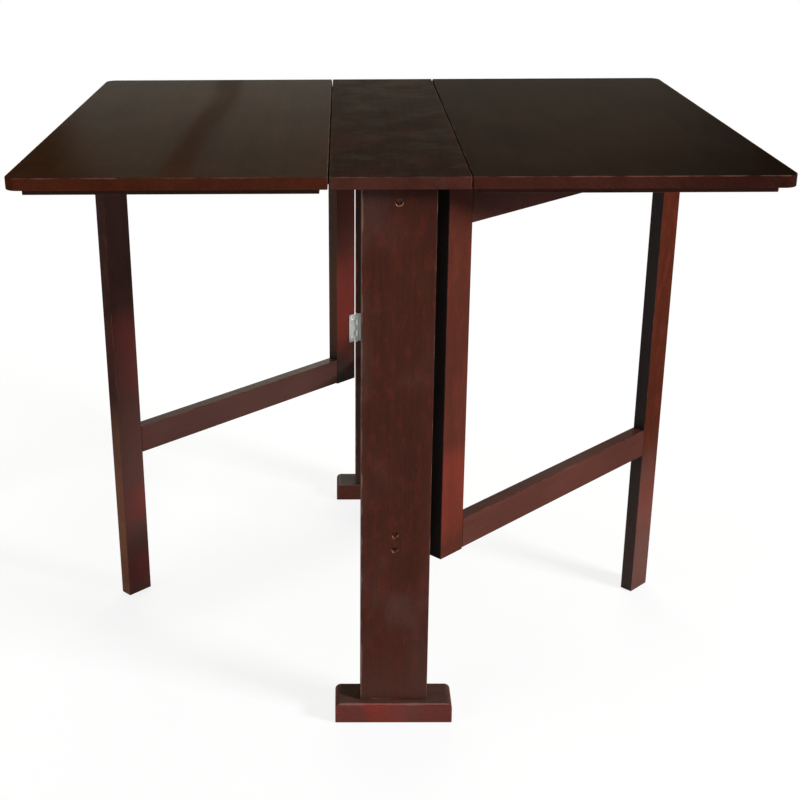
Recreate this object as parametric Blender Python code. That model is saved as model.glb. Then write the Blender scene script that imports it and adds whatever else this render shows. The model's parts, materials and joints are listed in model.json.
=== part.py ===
"""Folding gateleg dining table, in metres, with +Z up, X along the table and Y across it.

A narrow centre panel stands on two board-shaped end posts with a foot each, tied by two stretchers.
A drop leaf hangs on butt hinges at each side of the panel, and a gate swings out under each leaf.
The left gate hangs on the rear post and the right gate on the front post, so the table is alike
after half a turn about Z: each end and each side is built once, and the other is the same one turned.
The origin is on the floor under the middle of the top, and the gates stand open as in use.
"""
import math

import bmesh
import bpy
from mathutils import Matrix, Vector

MM = 0.001

# Top
TABLE_HEIGHT = 750 * MM
TOP_DEPTH = 770 * MM
TOP_THICKNESS = 15 * MM
CENTRE_WIDTH = 165 * MM
LEAF_WIDTH = 376 * MM
LEAF_GAP = 1.6 * MM
LEAF_CORNER_RADIUS = 16 * MM

# Battens under the leaves
BATTEN_HEIGHT = 10 * MM
BATTEN_WIDTH = 40 * MM
BATTEN_SETBACK = 25 * MM
BATTEN_INNER_INSET = 10 * MM
BATTEN_OUTER_INSET = 16 * MM

# Posts and feet
POST_WIDTH = 90 * MM
POST_THICKNESS = 28 * MM
POST_SETBACK = 20 * MM
FOOT_LENGTH = 158 * MM
FOOT_DEPTH = 50 * MM
FOOT_HEIGHT = 30 * MM
FOOT_TOE = 10 * MM
FOOT_ROUND = 8 * MM

# Stretchers between the posts
STRETCHER_HEIGHT = 40 * MM
STRETCHER_THICKNESS = 19 * MM
LOWER_STRETCHER_HEIGHT_OVER_FLOOR = 248 * MM

# Gates
GATE_OPEN_ANGLE = math.radians(45)
GATE_THICKNESS = 20 * MM
GATE_STILE_WIDTH = 43.5 * MM
GATE_LEG_WIDTH = 42 * MM
GATE_LEG_INSET = 38 * MM
GATE_BOTTOM = 235 * MM
GATE_LOWER_RAIL_RAISE = 2 * MM
GATE_LOWER_RAIL_HEIGHT = 42 * MM
GATE_TOP_RAIL_HEIGHT = 49 * MM
GATE_PIN_INSET = 2 * MM
GATE_END_CLEARANCE = 1.4 * MM
GATE_RAIL_CLEARANCE = 1.4 * MM
TENON_THICKNESS = 8 * MM
TENON_LENGTH = 18 * MM
TENON_SHOULDER = 7 * MM
STOP_LENGTH = 50 * MM
STOP_WIDTH = 18 * MM
STOP_HEIGHT = 10 * MM

# Butt hinges, the same for the gates and the leaves
HINGE_LENGTH = 50 * MM
HINGE_PLATE_REACH = 16.5 * MM
HINGE_SHEET = 1.2 * MM
HINGE_CORNER_RADIUS = 2 * MM
HINGE_KNUCKLES = 5
HINGE_KNUCKLE_PLAY = 0.15 * MM
HINGE_NOTCH_PLAY = 0.4 * MM
HINGE_ROLL_ANGLE = math.radians(285)
HINGE_HOLE_RADIUS = 1.9 * MM
HINGE_SINK_RADIUS = 3.2 * MM
HINGE_HOLE_REACH = 10 * MM
HINGE_HOLE_SPACING = 33 * MM
PIN_RADIUS = 1.2 * MM
PIN_PLAY = 0.25 * MM
PIN_HEAD_RADIUS = 2.2 * MM
PIN_HEAD_HEIGHT = 0.8 * MM
PIN_HEAD_CHAMFER = 0.3 * MM
GATE_HINGE_DISTANCE = 95 * MM
LEAF_HINGE_DISTANCE = 30 * MM

# Furniture screws with a hexagon socket
SCREW_LENGTH = 45 * MM
SCREW_RADIUS = 3 * MM
SCREW_TIP_LENGTH = 5 * MM
SCREW_HEAD_RADIUS = 4.5 * MM
SCREW_HEAD_HEIGHT = 3.5 * MM
SCREW_HEAD_CHAMFER = 0.6 * MM
SCREW_SOCKET_RADIUS = 2.3 * MM
SCREW_SOCKET_DEPTH = 2.2 * MM
SCREW_SINK = 13 * MM
SCREW_HOLE_EASE = 0.4 * MM
LOWER_SCREW_SPACING = 21 * MM
FOOT_SCREW_SPACING = 50 * MM
TOP_SCREW_BITE = 9 * MM
TOP_SCREW_SPACING = 400 * MM

# Fits and edges
SEAT_GAP = 0.3 * MM
EDGE_EASE = 1 * MM
OVERRUN = 2 * MM
EASE_STEPS = 2
CORNER_STEPS = 8
ROLL_STEPS = 9
ROUND_SIDES = 12
SOCKET_SIDES = 6

# Looks: base colour, roughness, metallic
LOOKS = {
    "top": ((0.016, 0.009, 0.006), 0.32, 0.0),
    "frame": ((0.058, 0.017, 0.012), 0.38, 0.0),
    "gate": ((0.072, 0.018, 0.012), 0.38, 0.0),
    "zinc": ((0.55, 0.57, 0.56), 0.35, 1.0),
    "screw": ((0.16, 0.145, 0.13), 0.42, 1.0),
}

# Places that follow from the sizes
TOP_UNDERSIDE = TABLE_HEIGHT - TOP_THICKNESS
SEAT_TOP = TOP_UNDERSIDE - SEAT_GAP
POST_OUTER_Y = TOP_DEPTH / 2 - POST_SETBACK
POST_INNER_Y = POST_OUTER_Y - POST_THICKNESS
LEAF_INNER_X = CENTRE_WIDTH / 2 + LEAF_GAP
LEAF_OUTER_X = LEAF_INNER_X + LEAF_WIDTH
PIN_EYE_RADIUS = PIN_RADIUS + PIN_PLAY
KNUCKLE_RADIUS = PIN_EYE_RADIUS + HINGE_SHEET
PIN_TO_WOOD = KNUCKLE_RADIUS + SEAT_GAP
LEAF_PIN_X = (CENTRE_WIDTH + LEAF_GAP) / 2
LEAF_PIN_Z = TOP_UNDERSIDE - PIN_TO_WOOD
LEAF_HINGE_Y = TOP_DEPTH / 2 - BATTEN_SETBACK - BATTEN_WIDTH - LEAF_HINGE_DISTANCE
GATE_PIN_X = POST_WIDTH / 2 - GATE_PIN_INSET
GATE_PIN_Y = POST_INNER_Y - PIN_TO_WOOD
GATE_BACK = PIN_TO_WOOD + GATE_THICKNESS
GATE_SPREAD = LEAF_OUTER_X - GATE_LEG_INSET - GATE_PIN_X - GATE_BACK * math.cos(GATE_OPEN_ANGLE)
GATE_END = GATE_SPREAD / math.sin(GATE_OPEN_ANGLE)
GATE_RAIL_TOP = LEAF_PIN_Z - KNUCKLE_RADIUS - GATE_RAIL_CLEARANCE
SCREW_HOLE_RADIUS = SCREW_RADIUS + SEAT_GAP
COUNTERBORE_RADIUS = SCREW_HEAD_RADIUS + SEAT_GAP
COUNTERBORE_DEPTH = SCREW_SINK + SCREW_HEAD_HEIGHT + SEAT_GAP
HALF_TURN = math.pi
QUARTER_TURN = math.pi / 2


def clear_scene():
    """Removes whatever objects the file holds."""
    for item in list(bpy.data.objects):
        bpy.data.objects.remove(item, do_unlink=True)


def make_material(name, look):
    """A plain Principled surface with the colour, roughness and metallic value of a look."""
    colour, roughness, metallic = LOOKS[look]
    material = bpy.data.materials.new(name)
    material.use_nodes = True
    shader = material.node_tree.nodes["Principled BSDF"]
    shader.inputs["Base Color"].default_value = (*colour, 1.0)
    shader.inputs["Roughness"].default_value = roughness
    shader.inputs["Metallic"].default_value = metallic
    return material


def new_object(name, form):
    """Turns a bmesh into an object with its faces pointing out."""
    bmesh.ops.recalc_face_normals(form, faces=form.faces)
    mesh = bpy.data.meshes.new(name)
    form.to_mesh(mesh)
    form.free()
    item = bpy.data.objects.new(name, mesh)
    bpy.context.collection.objects.link(item)
    return item


def new_empty(name, parent=None, location=(0, 0, 0), turn=0.0):
    """An axis or a side of the table that pieces hang on, turned about Z."""
    item = bpy.data.objects.new(name, None)
    bpy.context.collection.objects.link(item)
    item.location = location
    item.rotation_euler = (0, 0, turn)
    item.parent = parent
    return item


def place(item, look, parent=None, location=(0, 0, 0), rotation=(0, 0, 0)):
    """Puts a finished piece where it belongs and gives it its own material."""
    item.parent = parent
    item.location = location
    item.rotation_euler = rotation
    item.data.materials.clear()
    item.data.materials.append(make_material(item.name + "_finish", look))
    return item


def bake(item):
    """Replaces an object's mesh with the one that its modifiers give."""
    graph = bpy.context.evaluated_depsgraph_get()
    mesh = bpy.data.meshes.new_from_object(item.evaluated_get(graph))
    item.modifiers.clear()
    old = item.data
    item.data = mesh
    bpy.data.meshes.remove(old)
    return item


def ease_edges(item):
    """Rounds the sharp edges of a wooden piece a little, as sanding does."""
    bevel = item.modifiers.new("eased", "BEVEL")
    bevel.width = EDGE_EASE
    bevel.segments = EASE_STEPS
    bevel.limit_method = "ANGLE"
    bevel.angle_limit = math.radians(40)
    return bake(item)


def combine(item, other, operation):
    """Cuts the other object out of an item, or joins it on, and removes the other object."""
    change = item.modifiers.new("combined", "BOOLEAN")
    change.operation = operation
    change.solver = "EXACT"
    change.object = other
    bake(item)
    bpy.data.objects.remove(other, do_unlink=True)
    return item


def smooth(item):
    """Shades a round piece smooth, with its real edges kept sharp."""
    item.data.shade_smooth()
    item.data.set_sharp_from_angle(angle=math.radians(35))
    return item


def box(name, low, high):
    """A block between two corners."""
    low = Vector(low)
    high = Vector(high)
    form = bmesh.new()
    size = Matrix.Diagonal((*(high - low), 1))
    bmesh.ops.create_cube(form, size=1, matrix=Matrix.Translation((low + high) / 2) @ size)
    return new_object(name, form)


def slab(name, outline, thickness, axis):
    """An outline of 3-D points, extruded by a thickness along an axis."""
    form = bmesh.new()
    face = form.faces.new([form.verts.new(point) for point in outline])
    extruded = bmesh.ops.extrude_face_region(form, geom=[face])
    raised = [part for part in extruded["geom"] if isinstance(part, bmesh.types.BMVert)]
    bmesh.ops.translate(form, verts=raised, vec=Vector(axis) * thickness)
    return new_object(name, form)


def turned(name, profile, sides):
    """A solid of revolution about Z. The profile lists (radius, height) from one end to the other."""
    form = bmesh.new()
    rings = []
    for radius, height in profile:
        if radius == 0:
            rings.append([form.verts.new((0, 0, height))])
            continue
        ring = []
        for step in range(sides):
            angle = 2 * math.pi * step / sides
            ring.append(form.verts.new((radius * math.cos(angle), radius * math.sin(angle), height)))
        rings.append(ring)
    for lower, upper in zip(rings, rings[1:]):
        for step in range(sides):
            following = (step + 1) % sides
            corners = [lower[step % len(lower)], lower[following % len(lower)]]
            corners += [upper[following % len(upper)], upper[step % len(upper)]]
            form.faces.new(list(dict.fromkeys(corners)))
    for ring in (rings[0], rings[-1]):
        if len(ring) > 1:
            form.faces.new(ring)
    return new_object(name, form)


def arc(centre, radius, start, sweep, steps):
    """Points on a plane arc, both ends included."""
    points = []
    for step in range(steps + 1):
        angle = start + sweep * step / steps
        points.append((centre[0] + radius * math.cos(angle), centre[1] + radius * math.sin(angle)))
    return points


def screw_hole(location, rotation, depth):
    """A cutter for a counterbored screw hole with an eased mouth, which goes down its own Z."""
    profile = [
        (SCREW_HOLE_RADIUS, -depth),
        (SCREW_HOLE_RADIUS, -COUNTERBORE_DEPTH),
        (COUNTERBORE_RADIUS, -COUNTERBORE_DEPTH),
        (COUNTERBORE_RADIUS, -SCREW_HOLE_EASE),
        (COUNTERBORE_RADIUS + SCREW_HOLE_EASE + OVERRUN, OVERRUN),
    ]
    cutter = turned("screw_hole", profile, ROUND_SIDES)
    cutter.location = location
    cutter.rotation_euler = rotation
    return cutter


def pilot_hole(location, rotation, depth):
    """A cutter for the plain hole that a screw's shank bites in. It goes down its own Z."""
    profile = [(SCREW_HOLE_RADIUS, -depth - SEAT_GAP), (SCREW_HOLE_RADIUS, OVERRUN)]
    cutter = turned("pilot_hole", profile, ROUND_SIDES)
    cutter.location = location
    cutter.rotation_euler = rotation
    return cutter


def screw(name, length):
    """A screw with a cylindrical head. Its own origin is under the head, and its shank goes down Z."""
    profile = [
        (0, -length),
        (SCREW_RADIUS, SCREW_TIP_LENGTH - length),
        (SCREW_RADIUS, 0),
        (SCREW_HEAD_RADIUS, 0),
        (SCREW_HEAD_RADIUS, SCREW_HEAD_HEIGHT - SCREW_HEAD_CHAMFER),
        (SCREW_HEAD_RADIUS - SCREW_HEAD_CHAMFER, SCREW_HEAD_HEIGHT),
    ]
    item = turned(name, profile, ROUND_SIDES)
    floor = SCREW_HEAD_HEIGHT - SCREW_SOCKET_DEPTH
    socket = [(SCREW_SOCKET_RADIUS, floor), (SCREW_SOCKET_RADIUS, SCREW_HEAD_HEIGHT + OVERRUN)]
    combine(item, turned("socket", socket, SOCKET_SIDES), "DIFFERENCE")
    return smooth(item)


def build_centre_top():
    """The narrow middle panel, with two blind holes for the screws that hold it from below."""
    low = (-CENTRE_WIDTH / 2, -TOP_DEPTH / 2, 0)
    high = (CENTRE_WIDTH / 2, TOP_DEPTH / 2, TOP_THICKNESS)
    item = ease_edges(box("centre_top", low, high))
    for y in (-TOP_SCREW_SPACING / 2, TOP_SCREW_SPACING / 2):
        combine(item, pilot_hole((0, y, 0), (HALF_TURN, 0, 0), TOP_SCREW_BITE), "DIFFERENCE")
    return place(item, "top", location=(0, 0, TOP_UNDERSIDE))


def build_stretcher(name, top, screw_heights, panel_screws):
    """A rail between the posts, with its screws' holes in each end and any holes for the panel."""
    half = POST_INNER_Y - SEAT_GAP
    side = STRETCHER_THICKNESS / 2
    item = ease_edges(box(name, (-side, -half, -STRETCHER_HEIGHT), (side, half, 0)))
    bite = SCREW_LENGTH + COUNTERBORE_DEPTH - POST_THICKNESS
    for height in screw_heights:
        combine(item, pilot_hole((0, -half, height), (QUARTER_TURN, 0, 0), bite), "DIFFERENCE")
        combine(item, pilot_hole((0, half, height), (-QUARTER_TURN, 0, 0), bite), "DIFFERENCE")
    for y in panel_screws:
        hole = screw_hole((0, y, -STRETCHER_HEIGHT), (HALF_TURN, 0, 0), STRETCHER_HEIGHT + OVERRUN)
        combine(item, hole, "DIFFERENCE")
    return place(item, "frame", location=(0, 0, top))


def build_stretchers():
    """The upper stretcher under the panel and the lower one, each of the same stock."""
    middle = -STRETCHER_HEIGHT / 2
    panel_screws = (-TOP_SCREW_SPACING / 2, TOP_SCREW_SPACING / 2)
    build_stretcher("upper_stretcher", SEAT_TOP, (middle,), panel_screws)
    pair = (middle - LOWER_SCREW_SPACING / 2, middle + LOWER_SCREW_SPACING / 2)
    lower_top = LOWER_STRETCHER_HEIGHT_OVER_FLOOR + STRETCHER_HEIGHT
    build_stretcher("lower_stretcher", lower_top, pair, ())


def build_top_screws():
    """The two screws that rise through the upper stretcher into the panel."""
    length = STRETCHER_HEIGHT - SCREW_SINK - SCREW_HEAD_HEIGHT + TOP_SCREW_BITE
    height = SEAT_TOP - STRETCHER_HEIGHT + SCREW_SINK + SCREW_HEAD_HEIGHT
    for end, y in (("front", -TOP_SCREW_SPACING / 2), ("rear", TOP_SCREW_SPACING / 2)):
        item = screw(f"centre_top_{end}_screw", length)
        place(item, "screw", location=(0, y, height), rotation=(HALF_TURN, 0, 0))


def post_screw_heights():
    """Heights of the upper screw and the two lower ones, each at the stretcher that it holds."""
    upper = SEAT_TOP - STRETCHER_HEIGHT / 2
    lower = LOWER_STRETCHER_HEIGHT_OVER_FLOOR + STRETCHER_HEIGHT / 2
    half = LOWER_SCREW_SPACING / 2
    return {"upper": upper, "lower_a": lower + half, "lower_b": lower - half}


def build_post(name, parent):
    """An end post: a wide board on edge to the table, drilled for its stretchers and its foot."""
    bottom = FOOT_HEIGHT + SEAT_GAP
    low = (-POST_WIDTH / 2, -POST_OUTER_Y, bottom)
    high = (POST_WIDTH / 2, -POST_INNER_Y, SEAT_TOP)
    item = ease_edges(box(name, low, high))
    for height in post_screw_heights().values():
        hole = screw_hole((0, -POST_OUTER_Y, height), (QUARTER_TURN, 0, 0), POST_THICKNESS + OVERRUN)
        combine(item, hole, "DIFFERENCE")
    bite = SCREW_LENGTH + COUNTERBORE_DEPTH - FOOT_HEIGHT
    middle = (-POST_OUTER_Y - POST_INNER_Y) / 2
    for x in (-FOOT_SCREW_SPACING / 2, FOOT_SCREW_SPACING / 2):
        combine(item, pilot_hole((x, middle, bottom), (HALF_TURN, 0, 0), bite), "DIFFERENCE")
    return place(item, "frame", parent)


def build_foot(name, parent):
    """A flat block across the post's end, rounded at its two upper ends, screwed on from below."""
    half = FOOT_LENGTH / 2
    front = -POST_OUTER_Y - FOOT_TOE
    centre = (half - FOOT_ROUND, FOOT_HEIGHT - FOOT_ROUND)
    right = arc(centre, FOOT_ROUND, 0, QUARTER_TURN, CORNER_STEPS)
    left = [(-x, z) for x, z in reversed(right)]
    outline = [(-half, 0), (half, 0)] + right + left
    item = slab(name, [(x, front, z) for x, z in outline], FOOT_DEPTH, (0, 1, 0))
    ease_edges(item)
    middle = (-POST_OUTER_Y - POST_INNER_Y) / 2
    for x in (-FOOT_SCREW_SPACING / 2, FOOT_SCREW_SPACING / 2):
        hole = screw_hole((x, middle, 0), (HALF_TURN, 0, 0), FOOT_HEIGHT + OVERRUN)
        combine(item, hole, "DIFFERENCE")
    return place(item, "frame", parent)


def build_end(end, parent):
    """One end of the table, as it stands in front: post, foot and their screws."""
    build_post(f"{end}_post", parent)
    build_foot(f"{end}_foot", parent)
    head = -POST_OUTER_Y + SCREW_SINK + SCREW_HEAD_HEIGHT
    for label, height in post_screw_heights().items():
        item = screw(f"{end}_post_{label}_screw", SCREW_LENGTH)
        place(item, "screw", parent, (0, head, height), (QUARTER_TURN, 0, 0))
    middle = (-POST_OUTER_Y - POST_INNER_Y) / 2
    for label, x in (("a", -FOOT_SCREW_SPACING / 2), ("b", FOOT_SCREW_SPACING / 2)):
        item = screw(f"{end}_foot_screw_{label}", SCREW_LENGTH)
        place(item, "screw", parent, (x, middle, SCREW_SINK + SCREW_HEAD_HEIGHT), (HALF_TURN, 0, 0))


def plate_section():
    """Section of a hinge plate: flat sheet along X whose inner edge is rolled round the pin."""
    start = math.radians(270)
    outer = arc((0, 0), KNUCKLE_RADIUS, start, -HINGE_ROLL_ANGLE, ROLL_STEPS)
    inner = arc((0, 0), PIN_EYE_RADIUS, start, -HINGE_ROLL_ANGLE, ROLL_STEPS)
    flat_back = (HINGE_PLATE_REACH, -KNUCKLE_RADIUS)
    flat_front = (HINGE_PLATE_REACH, -PIN_EYE_RADIUS)
    return [flat_back] + outer + inner[::-1] + [flat_front]


def round_plate_corners(item):
    """Rounds the two free corners of a hinge plate."""
    form = bmesh.new()
    form.from_mesh(item.data)
    near_end = HINGE_PLATE_REACH - HINGE_SHEET
    edges = []
    for edge in form.edges:
        first, second = edge.verts
        along_sheet = abs(first.co.y - second.co.y) > HINGE_SHEET / 2
        if along_sheet and first.co.x > near_end and second.co.x > near_end:
            edges.append(edge)
    bmesh.ops.bevel(form, geom=edges, offset=HINGE_CORNER_RADIUS, offset_type="OFFSET",
                    segments=3, profile=0.5, affect="EDGES")
    form.to_mesh(item.data)
    form.free()


def cut_notches(item, own_knuckles):
    """Cuts the rolled edge away where the other plate's knuckles turn."""
    pitch = HINGE_LENGTH / HINGE_KNUCKLES
    side = KNUCKLE_RADIUS + OVERRUN
    for index in range(HINGE_KNUCKLES):
        if index in own_knuckles:
            continue
        low = index * pitch - HINGE_LENGTH / 2 - HINGE_KNUCKLE_PLAY
        high = low + pitch + 2 * HINGE_KNUCKLE_PLAY
        if index == 0:
            low -= OVERRUN
        if index == HINGE_KNUCKLES - 1:
            high += OVERRUN
        corner = KNUCKLE_RADIUS + HINGE_NOTCH_PLAY
        combine(item, box("notch", (-side, -side, low), (corner, side, high)), "DIFFERENCE")


def cut_plate_holes(item):
    """Countersinks the plate's two screw holes from its front side."""
    depth = HINGE_SINK_RADIUS - HINGE_HOLE_RADIUS
    front = -PIN_EYE_RADIUS
    back = -KNUCKLE_RADIUS - OVERRUN
    for z in (-HINGE_HOLE_SPACING / 2, HINGE_HOLE_SPACING / 2):
        profile = [
            (HINGE_HOLE_RADIUS, back - front),
            (HINGE_HOLE_RADIUS, -depth),
            (HINGE_SINK_RADIUS, 0),
            (HINGE_SINK_RADIUS, OVERRUN),
        ]
        cutter = turned("countersink", profile, ROUND_SIDES)
        cutter.location = (HINGE_HOLE_REACH, front, z)
        cutter.rotation_euler = (-QUARTER_TURN, 0, 0)
        combine(item, cutter, "DIFFERENCE")


def hinge_plate(name, own_knuckles):
    """A hinge plate. The pin is its Z axis, its sheet runs along +X and the wood lies at -Y."""
    outline = [(x, y, -HINGE_LENGTH / 2) for x, y in plate_section()]
    item = slab(name, outline, HINGE_LENGTH, (0, 0, 1))
    round_plate_corners(item)
    cut_notches(item, own_knuckles)
    cut_plate_holes(item)
    return smooth(item)


def hinge_pin(name):
    """A headed pin through all the knuckles, along Z."""
    shank = HINGE_LENGTH / 2 + SEAT_GAP
    end = shank + PIN_HEAD_HEIGHT
    rim = end - PIN_HEAD_CHAMFER
    crown = PIN_HEAD_RADIUS - PIN_HEAD_CHAMFER
    profile = [
        (crown, -end),
        (PIN_HEAD_RADIUS, -rim),
        (PIN_HEAD_RADIUS, -shank),
        (PIN_RADIUS, -shank),
        (PIN_RADIUS, shank),
        (PIN_HEAD_RADIUS, shank),
        (PIN_HEAD_RADIUS, rim),
        (crown, end),
    ]
    return smooth(turned(name, profile, ROUND_SIDES))


def outer_knuckles():
    """Every other knuckle, first and last included."""
    return range(0, HINGE_KNUCKLES, 2)


def inner_knuckles():
    """The knuckles between those of the other plate."""
    return range(1, HINGE_KNUCKLES, 2)


def build_leaf_hinges(side, ends, parent, axis):
    """Two butt hinges under the joint of the panel and a leaf, their pins along Y."""
    flat = (-QUARTER_TURN, 0, 0)
    for end, y in zip(ends, (-LEAF_HINGE_Y, LEAF_HINGE_Y)):
        name = f"{side}_leaf_{end}_hinge"
        fixed = (-LEAF_PIN_X, y, LEAF_PIN_Z)
        place(hinge_plate(f"{name}_panel_plate", outer_knuckles()), "zinc", parent, fixed, flat)
        place(hinge_pin(f"{name}_pin"), "zinc", parent, fixed, flat)
        turned_over = (-QUARTER_TURN, 0, HALF_TURN)
        place(hinge_plate(f"{name}_leaf_plate", inner_knuckles()), "zinc", axis, (0, y, 0), turned_over)


def build_leaf(side, ends, axis):
    """A drop leaf with rounded outer corners and the two battens that keep it flat."""
    inner = -LEAF_GAP / 2
    outer = inner - LEAF_WIDTH
    half = TOP_DEPTH / 2
    radius = LEAF_CORNER_RADIUS
    front = arc((outer + radius, radius - half), radius, 3 * QUARTER_TURN, -QUARTER_TURN, CORNER_STEPS)
    rear = [(x, -y) for x, y in reversed(front)]
    outline = [(inner, half), (inner, -half)] + front + rear
    item = slab(f"{side}_leaf", [(x, y, 0) for x, y in outline], TOP_THICKNESS, (0, 0, 1))
    place(ease_edges(item), "top", axis, (0, 0, PIN_TO_WOOD))
    near = half - BATTEN_SETBACK
    far = near - BATTEN_WIDTH
    for end, low_y, high_y in ((ends[0], -near, -far), (ends[1], far, near)):
        low = (outer + BATTEN_OUTER_INSET, low_y, -BATTEN_HEIGHT)
        high = (inner - BATTEN_INNER_INSET, high_y, 0)
        batten = ease_edges(box(f"{side}_leaf_{end}_batten", low, high))
        place(batten, "frame", axis, (0, 0, PIN_TO_WOOD - SEAT_GAP))


def gate_turn():
    """The left gate's direction about Z: +X turned towards the front, less the open angle."""
    return 3 * QUARTER_TURN - GATE_OPEN_ANGLE


def gate_point(along, across):
    """A plan position beside the open left gate, from distances along it and across its face."""
    sine = math.sin(GATE_OPEN_ANGLE)
    cosine = math.cos(GATE_OPEN_ANGLE)
    x = -GATE_PIN_X - along * sine + across * cosine
    y = GATE_PIN_Y - along * cosine - across * sine
    return x, y


def build_stop(side, axis):
    """The block under a leaf that the open gate's leg rests against."""
    half_length = STOP_LENGTH / 2
    half_width = STOP_WIDTH / 2
    low = (-half_length, -half_width, -STOP_HEIGHT)
    high = (half_length, half_width, 0)
    item = ease_edges(box(f"{side}_stop_block", low, high))
    across = -GATE_BACK - SEAT_GAP - half_width
    x, y = gate_point(GATE_END - GATE_LEG_WIDTH / 2, across)
    place(item, "frame", axis, (x + LEAF_PIN_X, y, PIN_TO_WOOD - SEAT_GAP), (0, 0, gate_turn()))


def gate_board(name, start, width, bottom, top):
    """An upright board of a gate, in the gate's own frame: X along it, its open face towards +Y."""
    low = (start, -GATE_BACK, bottom)
    high = (start + width, -PIN_TO_WOOD, top)
    return ease_edges(box(name, low, high))


def cut_mortise(item, start, end, bottom, top):
    """Cuts a blind slot for a rail's tenon into an upright board."""
    middle = -PIN_TO_WOOD - GATE_THICKNESS / 2
    half = TENON_THICKNESS / 2 + SEAT_GAP
    low = (start, middle - half, bottom + TENON_SHOULDER - SEAT_GAP)
    high = (end, middle + half, top - TENON_SHOULDER + SEAT_GAP)
    combine(item, box("mortise", low, high), "DIFFERENCE")


def gate_rail(name, start, end, bottom, top):
    """A rail of a gate with a stub tenon at each end."""
    item = ease_edges(box(name, (start, -GATE_BACK, bottom), (end, -PIN_TO_WOOD, top)))
    middle = -PIN_TO_WOOD - GATE_THICKNESS / 2
    half = TENON_THICKNESS / 2
    low = (start - TENON_LENGTH, middle - half, bottom + TENON_SHOULDER)
    high = (end + TENON_LENGTH, middle + half, top - TENON_SHOULDER)
    return combine(item, box("tenons", low, high), "UNION")


def build_gate(side, axis):
    """A gate: hinge stile, outer leg down to the floor, and two rails tenoned between them."""
    stile_start = GATE_END_CLEARANCE
    stile_end = stile_start + GATE_STILE_WIDTH
    leg_start = GATE_END - GATE_LEG_WIDTH
    stile = gate_board(f"{side}_gate_stile", stile_start, GATE_STILE_WIDTH, GATE_BOTTOM, GATE_RAIL_TOP)
    leg = gate_board(f"{side}_gate_leg", leg_start, GATE_LEG_WIDTH, 0, SEAT_TOP)
    lower_bottom = GATE_BOTTOM + GATE_LOWER_RAIL_RAISE
    rails = {
        "lower": (lower_bottom, lower_bottom + GATE_LOWER_RAIL_HEIGHT),
        "top": (GATE_RAIL_TOP - GATE_TOP_RAIL_HEIGHT, GATE_RAIL_TOP),
    }
    for label, (bottom, top) in rails.items():
        cut_mortise(stile, stile_end - TENON_LENGTH, stile_end + OVERRUN, bottom, top)
        cut_mortise(leg, leg_start - OVERRUN, leg_start + TENON_LENGTH, bottom, top)
        name = f"{side}_gate_{label}_rail"
        rail = gate_rail(name, stile_end + SEAT_GAP, leg_start - SEAT_GAP, bottom, top)
        place(rail, "gate", axis)
    place(stile, "gate", axis)
    place(leg, "gate", axis)


def build_gate_hinges(side, parent, axis):
    """Two butt hinges between the post's inner face and the gate, their pins upright."""
    lower = GATE_BOTTOM + GATE_HINGE_DISTANCE
    upper = GATE_RAIL_TOP - GATE_HINGE_DISTANCE
    for label, height in (("lower", lower), ("upper", upper)):
        name = f"{side}_gate_{label}_hinge"
        fixed = (-GATE_PIN_X, GATE_PIN_Y, height)
        post_plate = hinge_plate(f"{name}_post_plate", outer_knuckles())
        place(post_plate, "zinc", parent, fixed, (HALF_TURN, 0, 0))
        place(hinge_pin(f"{name}_pin"), "zinc", parent, fixed)
        gate_plate = hinge_plate(f"{name}_gate_plate", inner_knuckles())
        place(gate_plate, "zinc", axis, (0, 0, height))


def build_side(side, ends, turn):
    """One side of the table, as it stands at the left: leaf, stop, gate and their hinges."""
    parent = new_empty(f"{side}_side", turn=turn)
    leaf_axis = new_empty(f"{side}_leaf_axis", parent, (-LEAF_PIN_X, 0, LEAF_PIN_Z))
    gate_axis = new_empty(f"{side}_gate_axis", parent, (-GATE_PIN_X, GATE_PIN_Y, 0), gate_turn())
    build_leaf(side, ends, leaf_axis)
    build_stop(side, leaf_axis)
    build_leaf_hinges(side, ends, parent, leaf_axis)
    build_gate(side, gate_axis)
    build_gate_hinges(side, parent, gate_axis)


def build_table():
    """The whole table."""
    clear_scene()
    build_centre_top()
    build_stretchers()
    build_top_screws()
    build_end("front", new_empty("front_end"))
    build_end("rear", new_empty("rear_end", turn=HALF_TURN))
    build_side("left", ("front", "rear"), 0.0)
    build_side("right", ("rear", "front"), HALF_TURN)
    bpy.context.view_layer.update()


build_table()
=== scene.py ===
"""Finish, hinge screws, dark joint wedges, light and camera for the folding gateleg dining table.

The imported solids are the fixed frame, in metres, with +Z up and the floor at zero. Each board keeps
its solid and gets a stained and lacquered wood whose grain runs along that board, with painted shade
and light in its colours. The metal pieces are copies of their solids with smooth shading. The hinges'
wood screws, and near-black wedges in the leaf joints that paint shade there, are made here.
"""
import json
import math

import bmesh
import bpy
import numpy as np
from mathutils import Matrix, Vector

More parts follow.
